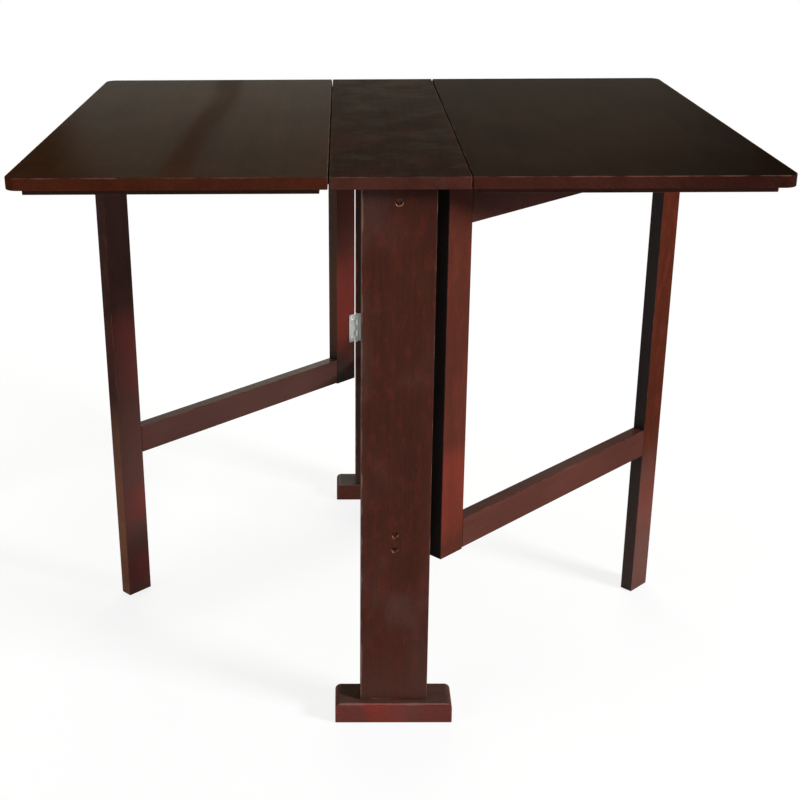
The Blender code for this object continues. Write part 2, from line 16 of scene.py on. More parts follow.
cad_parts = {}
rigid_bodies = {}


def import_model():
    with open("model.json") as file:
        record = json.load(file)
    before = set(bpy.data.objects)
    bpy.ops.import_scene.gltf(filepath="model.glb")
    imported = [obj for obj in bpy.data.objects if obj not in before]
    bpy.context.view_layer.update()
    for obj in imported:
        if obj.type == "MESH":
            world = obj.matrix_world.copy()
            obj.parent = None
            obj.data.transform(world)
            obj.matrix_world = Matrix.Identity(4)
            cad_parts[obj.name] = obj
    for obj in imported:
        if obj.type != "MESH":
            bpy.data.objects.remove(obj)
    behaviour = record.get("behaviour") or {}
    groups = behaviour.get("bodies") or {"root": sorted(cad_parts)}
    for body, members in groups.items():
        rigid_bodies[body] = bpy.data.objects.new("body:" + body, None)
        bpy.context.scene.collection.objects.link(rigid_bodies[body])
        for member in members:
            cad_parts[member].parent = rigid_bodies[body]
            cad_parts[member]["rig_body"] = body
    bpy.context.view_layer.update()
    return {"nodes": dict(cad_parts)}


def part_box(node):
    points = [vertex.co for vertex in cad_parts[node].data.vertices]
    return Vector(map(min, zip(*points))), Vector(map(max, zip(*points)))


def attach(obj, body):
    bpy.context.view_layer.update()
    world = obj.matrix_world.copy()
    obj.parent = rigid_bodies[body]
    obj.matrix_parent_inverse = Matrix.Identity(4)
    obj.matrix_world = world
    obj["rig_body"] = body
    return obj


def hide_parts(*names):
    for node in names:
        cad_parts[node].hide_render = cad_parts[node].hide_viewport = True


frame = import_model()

MM = 0.001
NODES = frame["nodes"]
X, Y, Z = (Vector(axis) for axis in ((1, 0, 0), (0, 1, 0), (0, 0, 1)))
ENDS = ("front", "rear")
# The right side is the left one after half a turn about the upright axis
SIDES = {"left": 1, "right": -1}

# Directions of the open left gate, seen from above: along it from its hinges, and out of its back
GATE_ALONG = Vector((-math.sqrt(0.5), -math.sqrt(0.5), 0))
GATE_BACK = Vector((-math.sqrt(0.5), math.sqrt(0.5), 0))


# Finishes


class Finish:
    """A node material. Its methods add nodes and return their outputs."""

    def __init__(self, name):
        self.material = bpy.data.materials.new(name)
        self.material.use_nodes = True
        self.tree = self.material.node_tree
        self.shader = self.tree.nodes["Principled BSDF"]

    def feed(self, socket, value):
        """Links a value that comes from a node, or sets one that is the same all over."""
        if isinstance(value, bpy.types.NodeSocket):
            self.tree.links.new(value, socket)
        else:
            socket.default_value = value

    def node(self, kind, inputs, output=0, **settings):
        """Adds a node, sets its settings, and feeds each input by its name or number."""
        node = self.tree.nodes.new("ShaderNode" + kind)
        for name, value in settings.items():
            setattr(node, name, value)
        for key, value in inputs.items():
            self.feed(node.inputs[key], value)
        return node.outputs[output]

    def coordinates(self, kind="Object"):
        return self.node("TexCoord", {}, kind)

    def math(self, operation, *values):
        return self.node("Math", dict(enumerate(values)), operation=operation)

    def add(self, first, second):
        return self.math("ADD", first, second)

    def take(self, first, second):
        return self.math("SUBTRACT", first, second)

    def times(self, first, second):
        return self.math("MULTIPLY", first, second)

    def vector(self, operation, *values, output=0):
        return self.node("VectorMath", dict(enumerate(values)), output, operation=operation)

    def ramp(self, value, start, end, low=0.0, high=1.0):
        """Smooth step of a value from start to end, between low and high."""
        inputs = {"Value": value, "From Min": start, "From Max": end, "To Min": low, "To Max": high}
        return self.node("MapRange", inputs, interpolation_type="SMOOTHSTEP")

    def spread(self, noise, low, high):
        """A noise brought from the values that it mostly has to those from low to high."""
        return self.ramp(noise, 0.3, 0.7, low, high)

    def noise(self, point, stretch, detail=2.0, roughness=0.5, distortion=0.0):
        """Noise whose patches have a size along each axis: stretch is their number per metre."""
        inputs = {"Vector": self.vector("MULTIPLY", point, stretch), "Scale": 1.0, "Detail": detail,
                  "Roughness": roughness, "Distortion": distortion}
        return self.node("TexNoise", inputs)

    def bump(self, strength, depth, height):
        return self.node("Bump", {"Strength": strength, "Distance": depth, "Height": height})

    def mix(self, share, first, second, blend="MIX"):
        inputs = {0: share, 6: first, 7: second}
        return self.node("Mix", inputs, 2, data_type="RGBA", blend_type=blend)

    def split(self, vector):
        """The three parts of a vector."""
        node = self.tree.nodes.new("ShaderNodeSeparateXYZ")
        self.feed(node.inputs[0], vector)
        return node.outputs[:]

    def set(self, **values):
        """Feeds the shader's own inputs. An underscore in a name stands for a space."""
        for name, value in values.items():
            self.feed(self.shader.inputs[name.replace("_", " ")], value)


def colour(red, green, blue):
    return (red, green, blue, 1.0)


# Noises: patches per metre along the grain and across it, then detail, roughness and distortion
FIBRES = ((8, 440, 440), 4, 0.6)
FIGURE = ((1.6, 28, 28), 3, 0.55, 0.5)
PORES = ((60, 1100, 1100), 1)
CLOUD = ((5, 9, 9), 3, 0.5, 0.3)
BLOOM = ((3.4, 7, 7), 2, 0.5)
CENTRE_BLOOM = ((8, 17, 17), 2, 0.5)
FOOT_BLOOM = ((9, 20, 20), 2, 0.5)
MOTTLE = ((34, 95, 95), 3, 0.65)
TOP_MOTTLE = ((95, 45, 45), 3, 0.65)
RUBBING = ((38, 38, 38), 3, 0.6)
SPECKLE = ((620, 620, 620), 2, 0.6)
SWEEP = ((22, 16, 16), 5, 0.7, 0.4)

# Values between which a noise, or the turn of a face, begins to count and counts in full
DARK_FIBRE = (0.34, 0.52)
BRIGHT_FIBRE = (0.50, 0.68)
OPEN_PORE = (0.62, 0.74)
FACING = (0.45, 0.85)
IN_BLOOM = (0.50, 0.68)
IN_PATCH = (0.48, 0.66)
IN_SMEAR = (0.42, 0.68)

# Colour of pale arrises, from abrasion and as a painted highlight on the eased edges: where no other
# colour is given, on the top, on the posts and on the feet
WORN_AND_LIT = (0.17, 0.064, 0.047)
TOP_WORN_AND_LIT = (0.080, 0.050, 0.042)
POST_WORN_AND_LIT = (0.20, 0.125, 0.085)
FOOT_WORN_AND_LIT = (0.24, 0.105, 0.088)
REAR_WORN_AND_LIT = (0.12, 0.070, 0.055)


def stain(contrast, body, bloom=None, worn_and_lit=WORN_AND_LIT):
    """A stain's colours: on dark fibres, most of the wood, bright fibres, in a bloom, and on pale
    arrises, which are abrasion and painted highlight.
    """
    return {"deep": colour(*(part * (1 - contrast) for part in body)), "body": colour(*body),
            "bright": colour(*(part * (1 + contrast) for part in body)),
            "bloom": colour(*(bloom or body)), "worn_and_lit": colour(*worn_and_lit)}


STAINS = {
    # The top's upper faces are darker than its edges, and the right leaf darker than the left: in
    # part painted shade
    "left_top": stain(0.18, (0.0245, 0.0110, 0.0046), (0.0360, 0.0112, 0.0052), TOP_WORN_AND_LIT),
    "centre_top": stain(0.30, (0.0185, 0.0098, 0.0054), (0.0330, 0.0100, 0.0062), TOP_WORN_AND_LIT),
    "right_top": stain(0.18, (0.0170, 0.0088, 0.0045), (0.0240, 0.0096, 0.0054), TOP_WORN_AND_LIT),
    "left_edge": stain(0.18, (0.043, 0.0108, 0.0050), (0.056, 0.0135, 0.0075)),
    "centre_edge": stain(0.18, (0.047, 0.0155, 0.0112), (0.062, 0.0175, 0.0140)),
    "right_edge": stain(0.18, (0.041, 0.0122, 0.0084), (0.050, 0.0145, 0.0110)),
    "frame": stain(0.14, (0.044, 0.0124, 0.0078), (0.078, 0.0150, 0.0085)),
    "post": stain(0.14, (0.044, 0.0124, 0.0078), (0.078, 0.0150, 0.0085), POST_WORN_AND_LIT),
    # Inner faces and narrow sides of the posts: darker copies of the post stain, painted shade
    "post_inside": stain(0.14, (0.023, 0.0102, 0.0080), (0.027, 0.0100, 0.0075)),
    "post_side": stain(0.14, (0.020, 0.0105, 0.0082), (0.026, 0.0105, 0.0080)),
    "left_rail": stain(0.14, (0.055, 0.0230, 0.0190), (0.066, 0.0230, 0.0180)),
    "right_rail": stain(0.14, (0.067, 0.0220, 0.0160), (0.082, 0.0230, 0.0165)),
    "left_gate": stain(0.15, (0.060, 0.0170, 0.0125), (0.125, 0.0200, 0.0140)),
    "right_gate": stain(0.15, (0.053, 0.0130, 0.0078), (0.125, 0.0195, 0.0125)),
    "orange": stain(0.15, (0.0395, 0.0072, 0.0026), (0.110, 0.0180, 0.0110)),
    "dusky": stain(0.12, (0.046, 0.0195, 0.0155), (0.094, 0.0205, 0.0180)),
    # Narrow sides of the uprights: darker copies of their stains, painted shade, and a paler one on
    # the left stile, painted sheen
    "shaded": stain(0.12, (0.027, 0.0210, 0.0195)),
    "dusky_side": stain(0.15, (0.030, 0.0125, 0.0100), (0.098, 0.0260, 0.0190)),
    "pale_side": stain(0.15, (0.066, 0.0390, 0.0280), (0.078, 0.0390, 0.0270)),
    "foot": stain(0.16, (0.100, 0.0265, 0.0210), (0.175, 0.0240, 0.0170), FOOT_WORN_AND_LIT),
    "rear_foot": stain(0.14, (0.068, 0.0225, 0.0160), (0.085, 0.0225, 0.0160), REAR_WORN_AND_LIT),
    # Tops of the feet: darker than their fronts, painted shade
    "foot_top": stain(0.14, (0.052, 0.0240, 0.0185), (0.070, 0.0220, 0.0160), FOOT_WORN_AND_LIT),
    "rear_foot_top": stain(0.14, (0.032, 0.0210, 0.0170), (0.036, 0.0210, 0.0165), REAR_WORN_AND_LIT),
    # Near-black painted shade, for the wedges in the leaf joints
    "joint": stain(0.14, (0.008, 0.0040, 0.0030)),
}
# Painted light from the floor, which makes the wood lighter and greyer near the floor, on an
# upright's face and on its narrow sides
LEFT_FLOOR_LIGHT = (colour(0.064, 0.0270, 0.0222), colour(0.150, 0.0620, 0.0360))
RIGHT_FLOOR_LIGHT = (colour(0.080, 0.0380, 0.0310), colour(0.052, 0.0320, 0.0270))
POST_FLOOR_LIGHT = (colour(0.060, 0.0260, 0.0200), colour(0.030, 0.0180, 0.0150))
# Painted shadow of the lower stretcher at the foot of a stile
STRETCHER_SHADOW = (colour(0.020, 0.0165, 0.0140),) * 2
HAZE = colour(0.060, 0.0360, 0.0320)
SMEAR = colour(0.048, 0.038, 0.029)
# Wood that no stain has reached
BARE = colour(0.76, 0.50, 0.32)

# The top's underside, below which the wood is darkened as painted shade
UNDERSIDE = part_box("centre_top")[0][2]

# Shares of a lacquer coat: the top is rubbed down to a dull sheen
TOP_COAT = 0.012
FRAME_COAT = 0.12
POST_COAT = 0.09
GATE_COAT = 0.06

# From this depth on inside a board's own box, a face belongs to a hole. A foot's own faces reach
# deeper than those of a plain board
HOLE = 0.6 * MM
FOOT_HOLE = 2.8 * MM
HOLE_FADE = 0.8 * MM
# Fresh wood in a hole: how deep in the board, or how far up on it, it begins and is all there
FRESH_DEPTH = (2.0 * MM, 6.0 * MM)
FRESH_HEIGHT = (0.0, 0.1)

# How wide a pale arris is where a board's arrises are least and most pale, and how much paler it then
# is: abrasion, and a painted highlight on the eased edge
LEAST_ARRIS = 0.3 * MM
MOST_ARRIS = 2.0 * MM
ARRIS_PALING = 0.6

# How far apart the boards' places in the noises are
SEED_STEP = 3.7

# Painted light and shade near the floor: how far below and above its height it fades out, how uneven
# that is, and its share
LOW_SHADING_BELOW, LOW_SHADING_ABOVE, LOW_SHADING_WAVE = 0.14, 0.02, 0.05
LOW_SHADING_COVER = 0.9

# A blush: where it begins and ends to fade, in reaches, how much the noise counts in it, and the
# level that is added outside it and inside
BLUSH_FADE = (0.2, 1.3)
BLUSH_NOISE = 0.4
BLUSH_LEVEL = (0.21, 0.44)

# A dull strip: where along the board it bows, how far, its wave and its fade, in half widths, and
# the shares of red and of coat in it
STRIP_BOW = (-0.35, 0.05)
STRIP_REACH = 0.7
STRIP_WAVE = 0.25
STRIP_FADE = (0.1, 1.9)
STRIP_RED = 0.3
STRIP_COAT = 0.46

# How much more a smear counts with each metre along the board
SMEAR_LEAN = 0.18

# Light and dark in the clouds and in the speckle, and how dark an open pore is
CLOUD_SHADE = (0.80, 1.04)
SPECKLE_SHADE = (-0.06, 0.22)
PORE_COVER = 0.35

# Relief of the wood and its polish, which the clouds change
WOOD_RELIEF = (0.30, 0.05 * MM)
WOOD_POLISH = (0.40, 0.50)
COAT_POLISH = 0.24


def board_frame(node, along, across):
    """A board's own axes, middle and half sizes, from its solid's corner points."""
    axes = Matrix((along, across, along.cross(across))).transposed()
    points = np.empty(len(NODES[node].data.vertices) * 3)
    NODES[node].data.vertices.foreach_get("co", points)
    own = points.reshape(-1, 3) @ np.array(axes)
    low, high = own.min(0), own.max(0)
    middle = axes @ Vector((low + high) / 2)
    return axes, middle, (high - low) / 2


def stain_tone(finish, name, streaks):
    """The colour of a stain on dark, plain and bright fibres."""
    colours = STAINS[name]
    tone = finish.mix(finish.ramp(streaks, *DARK_FIBRE), colours["deep"], colours["body"])
    return finish.mix(finish.ramp(streaks, *BRIGHT_FIBRE), tone, colours["bright"])


def red_patches(finish, grain, own_x, own_y, half, patches, blush, lean):
    """Where the stain blooms: a noise that gathers at the blushes and leans to one edge."""
    patch = finish.noise(grain, *patches)
    if blush:
        near = 0.0
        for place, reach in blush:
            off = finish.math("ABSOLUTE", finish.take(own_x, place))
            start, end = (part * reach for part in BLUSH_FADE)
            here = finish.ramp(off, start, end, 1.0, 0.0)
            near = finish.math("MAXIMUM", near, here)
        level = finish.ramp(near, 0.0, 1.0, *BLUSH_LEVEL)
        patch = finish.math("MULTIPLY_ADD", patch, BLUSH_NOISE, level)
    if lean:
        patch = finish.add(patch, finish.times(own_y, lean / half[1]))
    return patch


def dull_strip(finish, own_x, own_y, place, reach, cloud, figure):
    """A bowed strip along the grain: full at its middle, and none at about twice its half width."""
    bowed = finish.ramp(own_x, *STRIP_BOW, 0.0, -STRIP_REACH * reach)
    off = finish.take(finish.take(own_y, place), bowed)
    off = finish.add(off, finish.spread(cloud, -STRIP_WAVE * reach, STRIP_WAVE * reach))
    start, end = (part * reach for part in STRIP_FADE)
    strip = finish.ramp(finish.math("ABSOLUTE", off), start, end, 1.0, 0.0)
    return finish.times(strip, finish.ramp(figure, 0.35, 0.6, 0.6, 1.0))


def arris_wear_and_highlight(finish, gaps, own_y, own_z, half, rub, rubbed, arris_lean, sheltered):
    """How pale an arris is, from abrasion and as a painted highlight: more, the smaller the middle
    one of three distances.

    The middle distance is their sum less the smallest and the largest. It is divided by how wide the
    pale arris is there, which a noise changes along it. The smallest distance, the depth in the
    wood, is given back as well.
    """
    least = finish.math("MINIMUM", gaps[0], finish.math("MINIMUM", gaps[1], gaps[2]))
    most = finish.math("MAXIMUM", gaps[0], finish.math("MAXIMUM", gaps[1], gaps[2]))
    total = finish.add(gaps[0], finish.add(gaps[1], gaps[2]))
    arris = finish.take(total, finish.add(least, most))
    reach = finish.ramp(rub, 0.35, 0.72, LEAST_ARRIS * rubbed ** 2, MOST_ARRIS * rubbed)
    if arris_lean:
        spread = 0.3 * half[1] * arris_lean
        reach = finish.times(reach, finish.ramp(own_y, -spread, spread, 0.25, 1.0))
    close = finish.take(1.0, finish.math("DIVIDE", arris, reach))
    wear_and_highlight = finish.ramp(close, 0.0, 0.8, 0.0, ARRIS_PALING)
    if sheltered:
        wear_and_highlight = finish.times(wear_and_highlight, finish.ramp(own_z, -0.3 * half[2], 0.4 * half[2], 0.1, 1.0))
    return wear_and_highlight, least


def stained_wood(node, main, along, across, upper="", side="", coat=FRAME_COAT, trim=0.0,
                 bored=0.0, bloom_share=0.5, patches=BLOOM, lean=0.0, blush=None, mottled=0.0,
                 mottle=MOTTLE, hazed=0.0, dusty=0.0, dust=RIGHT_FLOOR_LIGHT, soiled=None, dull_coat_and_shade=None,
                 rubbed=1.0, arris_lean=0.0, sheltered=False, smeared=0.0, band=None):
    """Stained and lacquered wood for one board, with its grain along the board.

    Fibres are noise drawn out along the grain, the figure is a broader noise of the same kind, and
    pores are short dashes where a fine noise is high. The stain clouds over all of them and blooms
    red in patches, which lean to one edge or gather at blushes, each a place and reach along the
    board. The mottled share gives small red flecks and the hazed share a grey film. The upper face
    or the narrow sides may have a stain of their own, mostly a darker copy that is painted shade (on
    the top's upper faces only in part), and on the left stile's narrow sides a paler one, a painted
    sheen. Near the floor, below the low shading height, painted light from the floor makes the wood
    lighter and greyer, with a colour of its own on the narrow sides; on the left stile a painted
    shadow of the lower stretcher darkens it there instead. The shade under the top is how far down
    from the top's underside the wood darkens, as painted shade, and to what share. The dull coat and
    shade is a slope along and across the board, where it starts and ends, and the shares of coat and
    colour left there; the darker colour is painted shade. An arris turns pale, both from abrasion and
    as a painted highlight, where the middle one of the distances to the board's three nearest faces
    is small, and the lower arrises of a sheltered board hardly do. Trim is how far the board goes on,
    at each end, inside the next one. Deeper in the wood than the bored depth, as in a screw's hole,
    it is bare. A band is a bowed strip along the grain, given by its place across the board and its
    half width, where the lacquer is duller. Smears are broad pale patches, more of them toward the
    board's far end.
    """
    axes, middle, half = board_frame(node, along, across)
    half[0] -= trim
    seed = SEED_STEP * (1 + sorted(NODES).index(node))
    finish = Finish(node + "_wood")
    turn = {"Rotation": axes.to_euler()}
    point = finish.node("Mapping", {"Vector": finish.coordinates(), "Location": middle, **turn},
                        vector_type="TEXTURE")
    normal = finish.node("Mapping", {"Vector": finish.coordinates("Normal"), **turn},
                         vector_type="TEXTURE")
    grain = finish.vector("ADD", point, (seed, 0.61 * seed, 0.37 * seed))

    fibres = finish.noise(grain, *FIBRES)
    figure = finish.noise(grain, *FIGURE)
    pores = finish.ramp(finish.noise(grain, *PORES), *OPEN_PORE)
    cloud = finish.noise(grain, *CLOUD)
    speckle = finish.noise(grain, *SPECKLE)
    rub = finish.noise(grain, *RUBBING)
    own_x, own_y, own_z = finish.split(point)
    _, toward_y, toward_z = finish.split(normal)

    # The stain itself, on each face of the board; the upper faces' and narrow sides' own stains are
    # mostly painted shade
    streaks = finish.add(finish.times(fibres, 0.5), finish.times(figure, 0.5))
    tone = stain_tone(finish, main, streaks)
    deep, worn_and_lit, red = (STAINS[main][part] for part in ("deep", "worn_and_lit", "bloom"))
    if upper:
        above = finish.ramp(toward_z, *FACING)
        tone = finish.mix(above, tone, stain_tone(finish, upper, streaks))
        deep, worn_and_lit, red = (finish.mix(above, first, STAINS[upper][part])
                           for first, part in ((deep, "deep"), (worn_and_lit, "worn_and_lit"), (red, "bloom")))
    if side:
        aside = finish.ramp(finish.math("ABSOLUTE", toward_y), *FACING)
        tone = finish.mix(aside, tone, stain_tone(finish, side, streaks))
        red = finish.mix(aside, red, STAINS[side]["bloom"])

    # What lies over it: painted light from the floor (a painted shadow on the left stile), red
    # patches and flecks, haze, a dull strip and smears
    if dusty:
        level = finish.add(own_x, finish.spread(cloud, -LOW_SHADING_WAVE, LOW_SHADING_WAVE))
        share = finish.ramp(level, dusty - LOW_SHADING_BELOW, dusty + LOW_SHADING_ABOVE, LOW_SHADING_COVER, 0.0)
        tone = finish.mix(share, tone, finish.mix(aside, *dust))
    patch = red_patches(finish, grain, own_x, own_y, half, patches, blush, lean)
    tone = finish.mix(finish.ramp(patch, *IN_BLOOM, 0.0, bloom_share), tone, red)
    if mottled:
        flecks = finish.noise(grain, *mottle)
        tone = finish.mix(finish.ramp(flecks, *IN_PATCH, 0.0, mottled), tone, red)
    if hazed:
        tone = finish.mix(finish.ramp(cloud, *IN_PATCH, 0.0, hazed), tone, HAZE)
    if band:
        strip = dull_strip(finish, own_x, own_y, *band, cloud, figure)
        tone = finish.mix(finish.times(strip, STRIP_RED), tone, STAINS[upper]["bloom"])
        coat = finish.ramp(strip, 0.0, 1.0, coat, STRIP_COAT * coat)
    if smeared:
        sweep = finish.math("MULTIPLY_ADD", own_x, SMEAR_LEAN, finish.noise(grain, *SWEEP))
        tone = finish.mix(finish.ramp(sweep, *IN_SMEAR, 0.0, smeared), tone, SMEAR)

    # Light and dark: clouds, painted shade under the top, and a slope of duller coat and painted
    # shade
    shade = finish.add(finish.spread(cloud, *CLOUD_SHADE), finish.spread(speckle, *SPECKLE_SHADE))
    # Painted shade: darker towards the top's underside
    if soiled:
        drop, share = soiled
        height = finish.split(finish.coordinates())[2]
        shade = finish.times(shade, finish.ramp(height, UNDERSIDE - drop, UNDERSIDE, 1.0, share))
    # A duller coat along a slope, and a darker colour there that is painted shade
    if dull_coat_and_shade:
        rise, lean_over = dull_coat_and_shade["slope"]
        slope = finish.add(finish.times(own_x, rise), finish.times(own_y, lean_over))
        shade = finish.times(shade, finish.ramp(slope, *dull_coat_and_shade["span"], 1.0, dull_coat_and_shade["tone"]))
        coat = finish.times(finish.ramp(slope, *dull_coat_and_shade["span"], 1.0, dull_coat_and_shade["coat"]), coat)
    grey = finish.node("CombineColor", {0: shade, 1: shade, 2: shade})
    tone = finish.mix(1.0, tone, grey, "MULTIPLY")
    tone = finish.mix(finish.times(pores, PORE_COVER), tone, deep)

    # Pale arrises, from abrasion and as painted highlights, and bare wood in the holes
    gaps = finish.vector("SUBTRACT", tuple(half), finish.vector("ABSOLUTE", point))
    wear_and_highlight, depth = arris_wear_and_highlight(finish, finish.split(gaps), own_y, own_z, half, rub, rubbed, arris_lean,
                             sheltered)
    tone = finish.mix(wear_and_highlight, tone, worn_and_lit)
    if bored:
        inside = finish.ramp(depth, bored, bored + HOLE_FADE)
        high_up = finish.ramp(own_x, *FRESH_HEIGHT)
        fresh = finish.math("MAXIMUM", high_up, finish.ramp(depth, *FRESH_DEPTH))
        raw = finish.mix(fresh, colour(*FOOT_WORN_AND_LIT), BARE)
        share = finish.times(inside, finish.ramp(rub, 0.35, 0.65, 0.6, 0.95))
        tone = finish.mix(share, tone, raw)

    relief = finish.take(finish.times(fibres, 0.5), finish.times(pores, 0.5))
    bump = finish.bump(*WOOD_RELIEF, relief)
    finish.set(Base_Color=tone, Roughness=finish.spread(cloud, *WOOD_POLISH), Normal=bump,
               Coat_Normal=bump)
    finish.set(Specular_IOR_Level=0.0, Coat_Roughness=COAT_POLISH, Coat_Weight=coat)
    return finish.material


def top_boards():
    """The centre panel and the two leaves, whose upper faces differ: darker than their edges, in part
    painted shade.
    """
    top = {"along": Y, "across": -X, "mottled": 0.45, "mottle": TOP_MOTTLE, "sheltered": True}
    left_fade = {"slope": (-0.25, 1.0), "span": (0.145, 0.235), "coat": 0.05, "tone": 1.0}
    # The right leaf turns duller and darker towards its right front; the darker colour is painted
    # shade
    right_dull_and_shade = {"slope": (-0.35, -1.0), "span": (0.02, 0.36), "coat": 0.38, "tone": 0.42}
    return {
        "centre_top": dict(top, main="centre_edge", upper="centre_top", coat=0.4 * TOP_COAT,
                           bloom_share=0.5, patches=CENTRE_BLOOM, smeared=0.35),
        "left_leaf": dict(top, main="left_edge", upper="left_top", coat=TOP_COAT,
                          bloom_share=0.2, band=(-8 * MM, 20 * MM), dull_coat_and_shade=left_fade),
        "right_leaf": dict(top, main="right_edge", upper="right_top", coat=0.5 * TOP_COAT,
                           bloom_share=0.15, dull_coat_and_shade=right_dull_and_shade),
    }


def frame_boards():
    """Stretchers, end posts and feet."""
    boards = {}
    plain = {"main": "frame", "along": Y, "across": X, "bored": HOLE, "soiled": (60 * MM, 0.65)}
    for height in ("upper", "lower"):
        boards[height + "_stretcher"] = plain
    # The posts' inner faces and narrow sides take darker stains, painted shade, and near the floor
    # painted light from the floor
    post = {"main": "post", "upper": "post_inside", "side": "post_side", "along": Z,
            "bored": HOLE, "coat": POST_COAT, "bloom_share": 0.12, "mottled": 0.45, "hazed": 0.35,
            "rubbed": 1.9, "soiled": (60 * MM, 0.65), "dusty": -0.27, "dust": POST_FLOOR_LIGHT}
    # Both posts' pale arrises are widest on their left, where a painted highlight falls
    boards["front_post"] = dict(post, across=X, arris_lean=-1)
    boards["rear_post"] = dict(post, across=-X, arris_lean=1)
    foot = {"along": X, "across": Y, "bored": FOOT_HOLE, "patches": FOOT_BLOOM,
            "bloom_share": 0.9, "mottled": 0.2, "rubbed": 2.4, "sheltered": True}
    # The feet's tops take darker stains than their fronts: painted shade
    boards["front_foot"] = dict(foot, main="foot", upper="foot_top", coat=0.05, hazed=0.3,
                                blush=[(-8 * MM, 45 * MM)])
    boards["rear_foot"] = dict(foot, main="rear_foot", upper="rear_foot_top", coat=0.03)
    return boards


# What differs between the two gates: red blooms, stains, and painted light and shade near the floor,
# of the stile and the leg
GATE_UPRIGHTS = {
    # The left stile's foot is darkened near the floor: painted shadow of the lower stretcher
    "left_gate_stile": {"blush": [(-85 * MM, 125 * MM)], "lean": 0.02, "bloom_share": 0.95,
                        "main": "left_gate", "side": "pale_side", "dusty": -0.13, "dust": STRETCHER_SHADOW},
    "right_gate_stile": {"blush": [(-163 * MM, 105 * MM)], "bloom_share": 0.9,
                         "main": "right_gate", "side": "shaded"},
    "left_gate_leg": {"blush": [(35 * MM, 105 * MM), (-209 * MM, 50 * MM), (-325 * MM, 45 * MM)],
                      "lean": -0.06, "bloom_share": 0.95, "main": "dusky", "side": "dusky_side",
                      "dusty": -0.05, "dust": LEFT_FLOOR_LIGHT},
    "right_gate_leg": {"blush": [(-220 * MM, 75 * MM)], "bloom_share": 0.3, "main": "orange",
                       "side": "shaded", "dusty": -0.09, "dust": RIGHT_FLOOR_LIGHT},
}
# How far a rail's tenon reaches into the stile or the leg
TENON = 18 * MM


def side_boards(side, turn):
    """Battens, stop block and gate of one side."""
    boards = {}
    along, back = GATE_ALONG * turn, GATE_BACK * turn
    plain = {"main": "frame", "rubbed": 0.5, "soiled": (30 * MM, 0.6)}
    for end in ENDS:
        boards[f"{side}_leaf_{end}_batten"] = dict(plain, along=X, across=Y)
    boards[side + "_stop_block"] = dict(plain, along=along, across=back)
    upright = {"along": Z, "across": along, "rubbed": 0.5, "mottled": 0.2, "coat": GATE_COAT}
    for upright_node, soiled in (("_gate_stile", (90 * MM, 0.55)), ("_gate_leg", (40 * MM, 0.8))):
        node = side + upright_node
        boards[node] = dict(upright, **GATE_UPRIGHTS[node], soiled=soiled)
    rail = {"main": side + "_rail", "along": along, "across": back, "coat": GATE_COAT,
            "trim": TENON, "rubbed": 0.6, "soiled": (70 * MM, 0.25)}
    for height in ("top", "lower"):
        boards[f"{side}_gate_{height}_rail"] = dict(rail)
    return boards


def finish_boards():
    """Gives every wooden solid its own stained wood, with the grain of the board it is."""
    boards = {**top_boards(), **frame_boards()}
    for side, turn in SIDES.items():
        boards.update(side_boards(side, turn))
    # The right gate's rails turn duller and darker towards the leg; on the top rail the darkening is
    # painted shade under the right leaf
    boards["right_gate_lower_rail"]["dull_coat_and_shade"] = {"slope": (1.0, 0.0), "span": (0.0, 0.16),
                                                "coat": 0.5, "tone": 0.72}
    boards["right_gate_top_rail"]["dull_coat_and_shade"] = {"slope": (1.0, 0.0), "span": (-0.12, 0.10),
                                              "coat": 0.6, "tone": 0.50}
    for node, choices in boards.items():
        NODES[node].material_slots[0].material = stained_wood(node, **choices)


# Metal pieces

# Patches per metre: crystals of the plating, rolling marks, tarnish, pools of stain
ZINC_CRYSTALS = 420
SCREW_CRYSTALS = 600
ROLLING = ((2600, 2600, 500), 2, 0.6)
TARNISH = ((130, 130, 130), 3, 0.6)
POOLS = ((300, 300, 300), 3, 0.6)
TARNISHED = colour(0.30, 0.29, 0.26)

# Angle between faces from which an edge is sharp
METAL_ARRIS = math.radians(38)
SCREW_ARRIS = math.radians(50)


def plated_steel(name, tint, roughness, crystals):
    """Plated steel: small crystal patches change its tone and polish, over fine rolling marks."""
    finish = Finish(name)
    coordinates = finish.coordinates()
    cells = finish.noise(coordinates, (crystals, crystals, crystals), 2, 0.6)
    marks = finish.noise(coordinates, *ROLLING)
    tarnish = finish.noise(coordinates, *TARNISH)
    dull = colour(*(0.62 * part for part in tint[:3]))
    tone = finish.mix(finish.ramp(cells, 0.35, 0.65, 0.0, 0.35), tint, dull)
    tone = finish.mix(finish.ramp(tarnish, 0.52, 0.75, 0.0, 0.4), tone, TARNISHED)
    polish = finish.spread(cells, roughness - 0.07, roughness + 0.09)
    finish.set(Base_Color=tone, Roughness=polish, Normal=finish.bump(0.25, 0.02 * MM, marks),
               Metallic=1.0)
    return finish.material


def stained_and_lit_screw():
    """A screw head that the stain has run over: brown in patches, with a dull skin, and pale enough
    to paint light into its shaded hole.
    """
    finish = Finish("stained_and_lit_screw_head")
    pools = finish.noise(finish.coordinates(), *POOLS)
    tone = finish.mix(finish.ramp(pools, 0.35, 0.65), colour(0.80, 0.42, 0.30),
                      colour(0.60, 0.26, 0.16))
    finish.set(Base_Color=tone, Roughness=finish.spread(pools, 0.4, 0.6),
               Normal=finish.bump(0.3, 0.05 * MM, pools))
    return finish.material


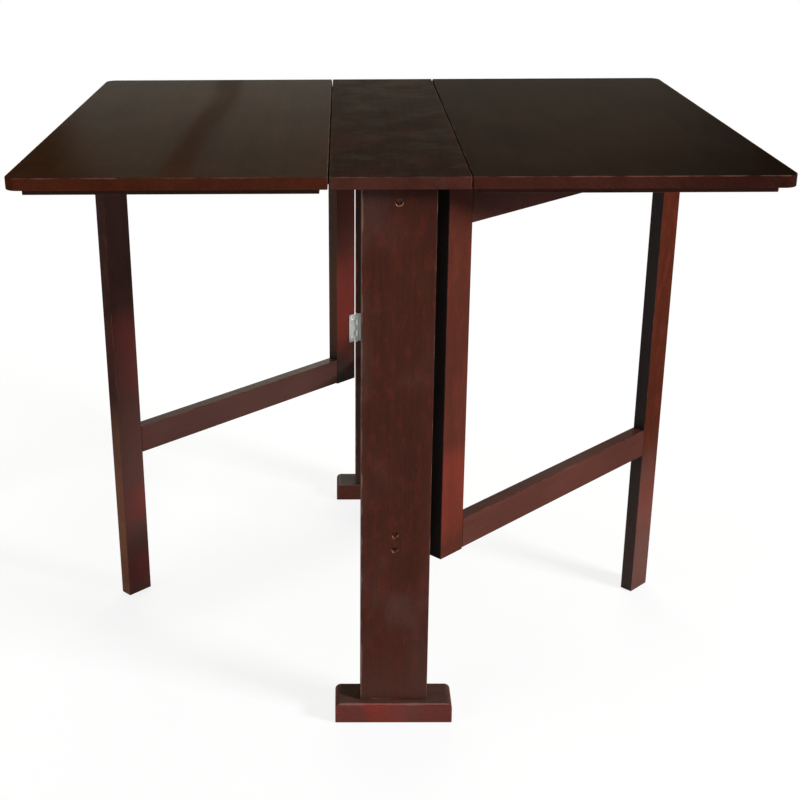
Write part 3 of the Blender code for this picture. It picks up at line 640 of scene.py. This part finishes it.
def smooth_copy(node, material):
    """Stands a smooth-shaded copy for a metal solid, with its loose triangles merged."""
    source = NODES[node]
    mesh = source.data.copy()
    piece = bpy.data.objects.new(node + "_finished", mesh)
    bpy.context.scene.collection.objects.link(piece)
    mesh.attributes.remove(mesh.attributes["custom_normal"])
    piece.modifiers.new("merged", "WELD").merge_threshold = 0.001 * MM
    evaluated = piece.evaluated_get(bpy.context.evaluated_depsgraph_get())
    piece.data = bpy.data.meshes.new_from_object(evaluated)
    piece.modifiers.clear()
    piece.data.shade_smooth()
    piece.data.set_sharp_from_angle(angle=METAL_ARRIS)
    piece.data.materials.clear()
    piece.data.materials.append(material)
    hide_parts(node)
    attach(piece, source["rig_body"])


def grid_piece(name, points, material):
    """A closed piece from a grid of points, rows by columns, whose last column meets the first."""
    rows, columns, _ = points.shape
    row, column = np.meshgrid(np.arange(rows - 1), np.arange(columns), indexing="ij")
    following = (column + 1) % columns
    faces = np.stack([row * columns + column, row * columns + following,
                      (row + 1) * columns + following, (row + 1) * columns + column], -1)
    mesh = bpy.data.meshes.new(name)
    mesh.from_pydata(points.reshape(-1, 3).tolist(), [], faces.reshape(-1, 4).tolist())
    mesh.validate()
    mesh.materials.append(material)
    piece = bpy.data.objects.new(name, mesh)
    bpy.context.scene.collection.objects.link(piece)
    close_poles(mesh)
    return piece


def close_poles(mesh):
    """Merges the points of the first and the last row, where each is drawn in to one point."""
    form = bmesh.new()
    form.from_mesh(mesh)
    bmesh.ops.remove_doubles(form, verts=form.verts, dist=0.002 * MM)
    bmesh.ops.recalc_face_normals(form, faces=form.faces)
    form.to_mesh(mesh)
    form.free()


# A countersunk wood screw for a butt hinge
SCREW_HEAD_RADIUS = 3.1 * MM
SCREW_HEAD_DEPTH = 1.9 * MM
SCREW_HEAD_ROUNDING = 0.12 * MM
SCREW_HEAD_LAND = 0.25 * MM
SCREW_NECK = 0.4 * MM
SCREW_CORE_RADIUS = 1.15 * MM
SCREW_THREAD = 0.42 * MM
SCREW_PITCH = 1.1 * MM
SCREW_LENGTH = 11.5 * MM
SCREW_TIP = 3.2 * MM
RECESS_REACH = 1.75 * MM
RECESS_END = 0.8 * MM
RECESS_HALF_WIDTH = 0.38 * MM
RECESS_DEPTH = 1.0 * MM

# Points of the screw's grid: round it, and rows over the head and down the shank
SCREW_COLUMNS = 36
HEAD_ROWS = 13
SHANK_ROWS = 44

# Its place, from the middle of the hinge's pin: along the pin, out over the plate, into the wood
SCREW_ALONG = 16.5 * MM
SCREW_OUT = 10 * MM
SCREW_SINK = 1.5 * MM
# Turns of the two recesses in a plate, and from one plate to the next
RECESS_TURNS = {"a": 0.9, "b": 0.2}
RECESS_STEP = 0.7


def screw_points(turn):
    """Points of a screw whose head's top is at zero and whose tip is at minus its length.

    The rows first go out over the head: at radius r and angle a the height is minus the recess
    depth times a soft step of how far the point is inside a cross of two bars. Then the rows go
    down the cone and the shank, where the radius is the core's plus a ridge that climbs one pitch
    a turn, and both shrink to nothing over the tip.
    """
    angle = np.linspace(0, 2 * math.pi, SCREW_COLUMNS, endpoint=False)
    share = np.linspace(0, 1, HEAD_ROWS)[:, None]
    radius = (SCREW_HEAD_RADIUS - SCREW_HEAD_ROUNDING) * share
    x, y = radius * np.cos(angle - turn), radius * np.sin(angle - turn)
    near, far = np.minimum(abs(x), abs(y)), np.maximum(abs(x), abs(y))
    inside = np.clip((RECESS_HALF_WIDTH * 1.5 - near) / RECESS_HALF_WIDTH, 0, 1)
    inside *= np.clip((RECESS_REACH - far) / RECESS_END, 0, 1)
    head = -RECESS_DEPTH * inside
    rim = np.array([[SCREW_HEAD_RADIUS, -SCREW_HEAD_ROUNDING],
                    [SCREW_HEAD_RADIUS, -SCREW_HEAD_LAND],
                    [SCREW_CORE_RADIUS + SCREW_NECK, -SCREW_HEAD_DEPTH]])
    depth = np.linspace(SCREW_HEAD_DEPTH + 0.1 * MM, SCREW_LENGTH, SHANK_ROWS)[:, None]
    climb = (depth / SCREW_PITCH - angle / (2 * math.pi)) % 1
    ridge = np.clip(1 - abs(climb - 0.5) / 0.28, 0, 1)
    taper = np.clip((SCREW_LENGTH - depth) / SCREW_TIP, 0, 1)
    start = np.clip((depth - SCREW_HEAD_DEPTH) / SCREW_PITCH, 0, 1)
    shank = (SCREW_CORE_RADIUS + SCREW_THREAD * ridge * start) * taper
    radii = np.concatenate([radius + 0 * angle, rim[:, :1] + 0 * angle, shank])
    heights = np.concatenate([head, rim[:, 1:] + 0 * angle, -depth + 0 * angle])
    return np.stack([radii * np.cos(angle), radii * np.sin(angle), heights], -1)


def hinge_screws(plate, pin_node, sheet, wood, body, material, turn):
    """The two countersunk screws of a hinge plate, set from its pin's middle.

    Sheet is the direction from the pin over the plate, and wood the one into the board.
    """
    low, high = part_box(pin_node)
    pin = (low + high) / 2
    along = sheet.cross(wood)
    axes = np.array([sheet, along, -wood])
    for label, shift in (("a", -SCREW_ALONG), ("b", SCREW_ALONG)):
        head = pin + sheet * SCREW_OUT + wood * SCREW_SINK + along * shift
        points = screw_points(turn + RECESS_TURNS[label]) @ axes + np.array(head)
        piece = grid_piece(f"{plate}_screw_{label}", points, material)
        piece.data.shade_smooth()
        piece.data.set_sharp_from_angle(angle=SCREW_ARRIS)
        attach(piece, body)


def hinge_plates():
    """Each hinge and plate, with its directions over the plate and into the wood, and its body."""
    plates = []
    for side, turn in SIDES.items():
        for height in ("lower", "upper"):
            name = f"{side}_gate_{height}_hinge"
            plates += [(name, "_post_plate", X * turn, Y * turn, "frame"),
                       (name, "_gate_plate", GATE_ALONG * turn, GATE_BACK * turn,
                        side + "_gate_body")]
        for end in ENDS:
            name = f"{side}_leaf_{end}_hinge"
            plates += [(name, "_panel_plate", X * turn, Z, "frame"),
                       (name, "_leaf_plate", -X * turn, Z, side + "_leaf_body")]
    return plates


def finish_metal():
    """Smooth copies of the hinges and screws, and the hinges' own wood screws."""
    zinc = plated_steel("zinc_plate", colour(0.56, 0.58, 0.56), 0.34, ZINC_CRYSTALS)
    # The post plates are a darker copy of the zinc: painted shade
    shaded_dull_zinc = plated_steel("dull_zinc_plate", colour(0.30, 0.32, 0.30), 0.40, ZINC_CRYSTALS)
    dark = plated_steel("dark_screw_steel", colour(0.09, 0.08, 0.07), 0.45, ZINC_CRYSTALS)
    # The screws at the foot of the posts are pale brown, which paints light into their shaded holes
    stained = stained_and_lit_screw()
    bright = plated_steel("bright_screw_plate", colour(0.74, 0.76, 0.78), 0.20, SCREW_CRYSTALS)
    for node in sorted(NODES):
        if "_hinge_" in node:
            smooth_copy(node, shaded_dull_zinc if node.endswith("post_plate") else zinc)
        elif "screw" in node:
            smooth_copy(node, stained if "_lower_" in node else dark)
    for count, (name, plate, sheet, wood, body) in enumerate(hinge_plates()):
        hinge_screws(name + plate, name + "_pin", sheet, wood, body, bright, RECESS_STEP * count)


# Near-black wedges in the leaf joints, painted shade

# A leaf's last lift, and the wedge's play to the panel, its drop below the top's face, and how
# far it stops short of the leaf's two ends
LEAF_LIFT = math.radians(4)
WEDGE_PLAY = 0.15 * MM
WEDGE_DROP = 1.2 * MM
WEDGE_REAR = 2.5 * MM
WEDGE_FRONT = 30 * MM
LEAST_WEDGE = 0.05 * MM
WEDGE_FIBRES = ((440, 8, 440), 4, 0.6)


def leaf_joint_shadow(side):
    """A thin near-black wedge on a leaf's inner edge, painted shade in the joint, which closes
    against the panel as the leaf lifts.

    Its section reaches into the joint by the joint's width, less the height above the hinge pin
    times the tangent of the leaf's last lift, and it runs along the leaf nearly from end to end.
    """
    turn = -SIDES[side]
    leaf_low, leaf_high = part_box(side + "_leaf")
    panel_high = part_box("centre_top")[1]
    inner = leaf_low[0] if turn > 0 else leaf_high[0]
    pin_low, pin_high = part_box(f"{side}_leaf_front_hinge_pin")
    joint = abs(inner) - panel_high[0] - WEDGE_PLAY
    low, high = UNDERSIDE + WEDGE_PLAY, panel_high[2] - WEDGE_DROP
    height = np.array([low, low, high, high])
    reach = joint - (height - (pin_low[2] + pin_high[2]) / 2) * math.tan(LEAF_LIFT)
    into = np.array([-1, 1, 1, -1])
    across = inner - turn * np.where(into > 0, np.maximum(reach, LEAST_WEDGE), -WEDGE_PLAY)
    front, rear = leaf_low[1] + WEDGE_FRONT, leaf_high[1] - WEDGE_REAR
    rows = []
    for y, share in ((front, 0), (front, 1), (rear, 1), (rear, 0)):
        ring = np.stack([across, 0 * across + y, height], -1)
        rows.append(ring.mean(0) + share * (ring - ring.mean(0)))
    finish = Finish(side + "_joint_shadow_wood")
    fibres = finish.noise(finish.coordinates(), *WEDGE_FIBRES)
    finish.set(Base_Color=stain_tone(finish, "joint", fibres),
               Roughness=finish.spread(fibres, 0.5, 0.7), Specular_IOR_Level=0.0,
               Normal=finish.bump(0.3, 0.05 * MM, fibres))
    piece = grid_piece(side + "_leaf_joint_shadow", np.array(rows), finish.material)
    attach(piece, side + "_leaf_body")


# Studio

ROOM_LIGHT = 0.04
FLOOR_REACH = 30.0
FLOOR_DROP = 0.5 * MM
FLOOR_GREY = colour(0.86, 0.86, 0.86)
# Distances from the table's middle between which the floor turns white, and the share at first
FLOOR_FADE = (0.6, 2.6)
FLOOR_WHITE = 0.82

# Place, height aimed at over the table's middle, width, height, power and tint of each lamp
PLAIN_LIGHT = (1, 1, 1)
LAMPS = {
    "key": ((3.02, -1.80, 1.85), 0.4, 1.0, 0.6, 205, PLAIN_LIGHT),
    "fill": ((-2.3, -1.9, 1.5), 0.4, 1.8, 1.8, 30, PLAIN_LIGHT),
    "overhead": ((-1.2, 0.2, 3.0), 0.6, 2.0, 2.0, 30, PLAIN_LIGHT),
    "back": ((0.0, 3.2, 0.85), 0.75, 3.0, 0.8, 145, (0.94, 1.0, 0.84)),
}

# The photograph's camera: place in metres, turns in radians, and lens and middle in picture points
CAMERA_PLACE = (-0.06699, -1.94375, 1.08484)
CAMERA_YAW, CAMERA_PITCH, CAMERA_ROLL = 0.00733, 0.37438, -0.00579
FOCAL_POINTS = 1367.29
MIDDLE_POINTS = (333.80, 401.72)
PICTURE_POINTS = 800
SENSOR_WIDTH = 36.0


def seen_directly(tree):
    """One for camera, glossy and transmission rays, which see the plain background, or zero."""
    path = tree.nodes.new("ShaderNodeLightPath")
    total = path.outputs["Is Camera Ray"]
    for name in ("Is Glossy Ray", "Is Transmission Ray"):
        node = tree.nodes.new("ShaderNodeMath")
        node.operation = "MAXIMUM"
        tree.links.new(total, node.inputs[0])
        tree.links.new(path.outputs[name], node.inputs[1])
        total = node.outputs[0]
    return total


def make_world():
    """Soft grey light from all round, and plain white where it is seen directly."""
    world = bpy.data.worlds.new("studio")
    world.use_nodes = True
    tree = world.node_tree
    background = tree.nodes["Background"]
    background.inputs["Color"].default_value = colour(1, 1, 1)
    strength = tree.nodes.new("ShaderNodeMapRange")
    strength.inputs["To Min"].default_value = ROOM_LIGHT
    strength.inputs["To Max"].default_value = 1.0
    tree.links.new(seen_directly(tree), strength.inputs["Value"])
    tree.links.new(strength.outputs[0], background.inputs["Strength"])
    bpy.context.scene.world = world


def make_floor():
    """A pale floor that shades into plain white away from the table, and keeps its shadow."""
    reach = FLOOR_REACH
    mesh = bpy.data.meshes.new("floor")
    corners = [(-reach, -reach, 0), (reach, -reach, 0), (reach, reach, 0), (-reach, reach, 0)]
    mesh.from_pydata(corners, [], [(0, 1, 2, 3)])
    floor = bpy.data.objects.new("floor", mesh)
    bpy.context.scene.collection.objects.link(floor)
    floor.location.z = -FLOOR_DROP
    finish = Finish("pale_floor")
    distance = finish.vector("LENGTH", finish.coordinates(), output=1)
    finish.set(Base_Color=FLOOR_GREY, Roughness=0.9, Specular_IOR_Level=0.0)
    glow = finish.tree.nodes.new("ShaderNodeEmission")
    blend = finish.tree.nodes.new("ShaderNodeMixShader")
    white = finish.ramp(distance, *FLOOR_FADE, FLOOR_WHITE, 1.0)
    share = finish.times(white, seen_directly(finish.tree))
    for place, output in enumerate((share, finish.shader.outputs[0], glow.outputs[0])):
        finish.tree.links.new(output, blend.inputs[place])
    finish.tree.links.new(blend.outputs[0], finish.tree.nodes["Material Output"].inputs[0])
    mesh.materials.append(finish.material)


def make_lamp(name, place, aim, width, height, power, tint):
    """A rectangular soft lamp that looks at a height over the table's middle."""
    lamp = bpy.data.lights.new(name, "AREA")
    lamp.shape = "RECTANGLE"
    lamp.size, lamp.size_y = width, height
    lamp.energy = power
    lamp.color = tint
    item = bpy.data.objects.new(name, lamp)
    bpy.context.scene.collection.objects.link(item)
    item.location = place
    item.rotation_euler = (Z * aim - Vector(place)).to_track_quat("-Z", "Y").to_euler()


def make_camera():
    """The photograph's view: its place, turn, lens and shift, fitted to the table's outline."""
    ahead = Vector((-math.sin(CAMERA_YAW), math.cos(CAMERA_YAW), 0))
    right = Vector((math.cos(CAMERA_YAW), math.sin(CAMERA_YAW), 0))
    forward = ahead * math.cos(CAMERA_PITCH) - Z * math.sin(CAMERA_PITCH)
    up = ahead * math.sin(CAMERA_PITCH) + Z * math.cos(CAMERA_PITCH)
    rolled_right = right * math.cos(CAMERA_ROLL) + up * math.sin(CAMERA_ROLL)
    rolled_up = up * math.cos(CAMERA_ROLL) - right * math.sin(CAMERA_ROLL)
    data = bpy.data.cameras.new("camera")
    data.sensor_width = SENSOR_WIDTH
    data.lens = FOCAL_POINTS * SENSOR_WIDTH / PICTURE_POINTS
    data.shift_x = (PICTURE_POINTS / 2 - MIDDLE_POINTS[0]) / PICTURE_POINTS
    data.shift_y = (MIDDLE_POINTS[1] - PICTURE_POINTS / 2) / PICTURE_POINTS
    data.clip_end = 100.0
    camera = bpy.data.objects.new("camera", data)
    bpy.context.scene.collection.objects.link(camera)
    turn = Matrix((rolled_right, rolled_up, -forward)).transposed()
    camera.matrix_world = Matrix.Translation(CAMERA_PLACE) @ turn.to_4x4()
    bpy.context.scene.camera = camera


def make_studio():
    """Pale floor, soft lamps at plain level and the camera."""
    make_world()
    make_floor()
    for name, choices in LAMPS.items():
        make_lamp(name, *choices)
    make_camera()
    bpy.context.scene.view_settings.view_transform = "Standard"


finish_boards()
finish_metal()
for side in SIDES:
    leaf_joint_shadow(side)
make_studio()
